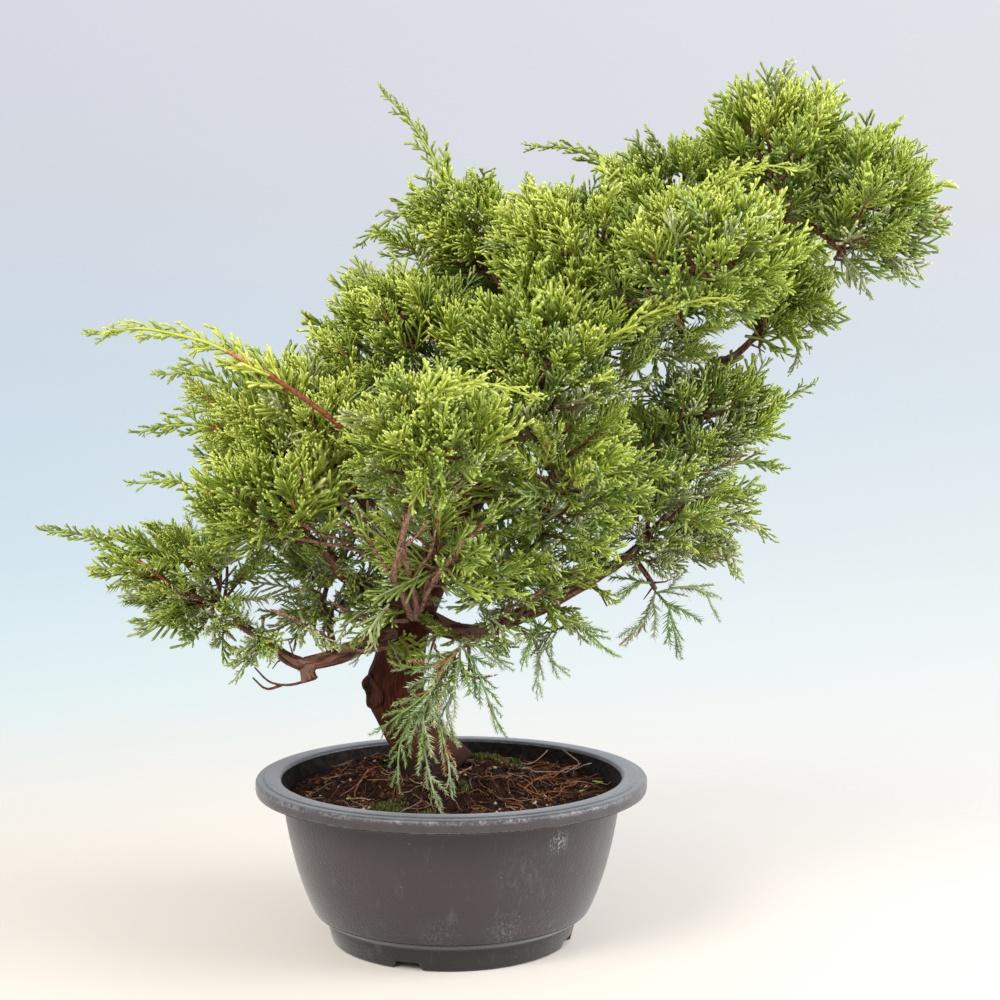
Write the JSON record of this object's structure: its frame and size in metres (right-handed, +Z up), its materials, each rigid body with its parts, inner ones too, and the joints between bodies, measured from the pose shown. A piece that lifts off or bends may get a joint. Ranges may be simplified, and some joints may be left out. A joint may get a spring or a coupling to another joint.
{
  "type": "itoigawa chinese juniper bonsai in a round plastic training pot",
  "caption": "Juniper bonsai with a slanting trunk and a dense crown that sweeps up to the right, grown in a round dark plastic training pot filled with soil.",
  "frame": {"origin": "on the plane the pot stands on, under the middle of the whole plant's outline; the pot's axis is at about x -0.027, y -0.009 m", "axes": "+Z up from the pot's foot; -Y towards the front that the picture shows; +X to the right of the front, the way the crown sweeps"},
  "size_m": [0.5486, 0.3314, 0.528],
  "materials": {
    "pot_plastic": "moulded dark grey plastic, scuffed, with a paler worn lip",
    "soil_mix": "damp dark brown soil with root fibres and moss",
    "bark": "reddish brown fibrous bark that flakes in strips",
    "crown_foliage": "scale-like leaves on blunt cords, light yellow-green at the tips",
    "hanging_foliage": "older shaded sprays, duller blue-green"
  },
  "bodies": {
    "root": {"pot": "pot_plastic", "soil": "soil_mix", "trunk": "bark", "left_low_bough_inner": "bark", "left_low_bough_outer": "bark", "left_mid_bough": "bark", "front_bough": "bark", "right_low_bough": "bark", "right_mid_bough_inner": "bark", "right_mid_bough_outer": "bark", "hanging_front_bough": "bark", "hanging_mid_bough": "bark", "hanging_right_bough": "bark", "front_low_bough": "bark", "left_back_bough": "bark", "left_upper_bough": "bark", "low_back_bough": "bark", "center_bough": "bark", "right_back_bough": "bark", "mid_left_bough": "bark", "mid_center_bough": "bark", "right_bough": "bark", "mid_back_bough": "bark", "upper_left_bough": "bark", "mid_upper_bough": "bark", "shoulder_bough": "bark", "apex_left_bough": "bark", "apex_back_bough": "bark", "apex_right_bough": "bark", "apex_top_foliage": "crown_foliage", "apex_right_foliage": "crown_foliage", "apex_back_foliage": "crown_foliage", "apex_left_foliage": "crown_foliage", "shoulder_foliage": "crown_foliage", "mid_upper_foliage": "crown_foliage", "upper_left_foliage": "crown_foliage", "mid_left_foliage": "crown_foliage", "mid_center_foliage": "crown_foliage", "mid_back_foliage": "crown_foliage", "upper_back_foliage": "crown_foliage", "right_mid_foliage": "crown_foliage", "center_right_foliage": "crown_foliage", "left_upper_foliage": "crown_foliage", "left_mid_foliage": "crown_foliage", "left_low_foliage": "crown_foliage", "left_low_inner_foliage": "crown_foliage", "left_back_foliage": "crown_foliage", "front_foliage": "crown_foliage", "front_low_foliage": "crown_foliage", "center_foliage": "crown_foliage", "center_low_foliage": "crown_foliage", "low_back_foliage": "crown_foliage", "right_back_foliage": "crown_foliage", "right_low_foliage": "crown_foliage", "right_foliage": "crown_foliage", "hanging_front_foliage": "hanging_foliage", "hanging_mid_foliage": "hanging_foliage", "hanging_right_foliage": "hanging_foliage"}
  },
  "joints": []
}
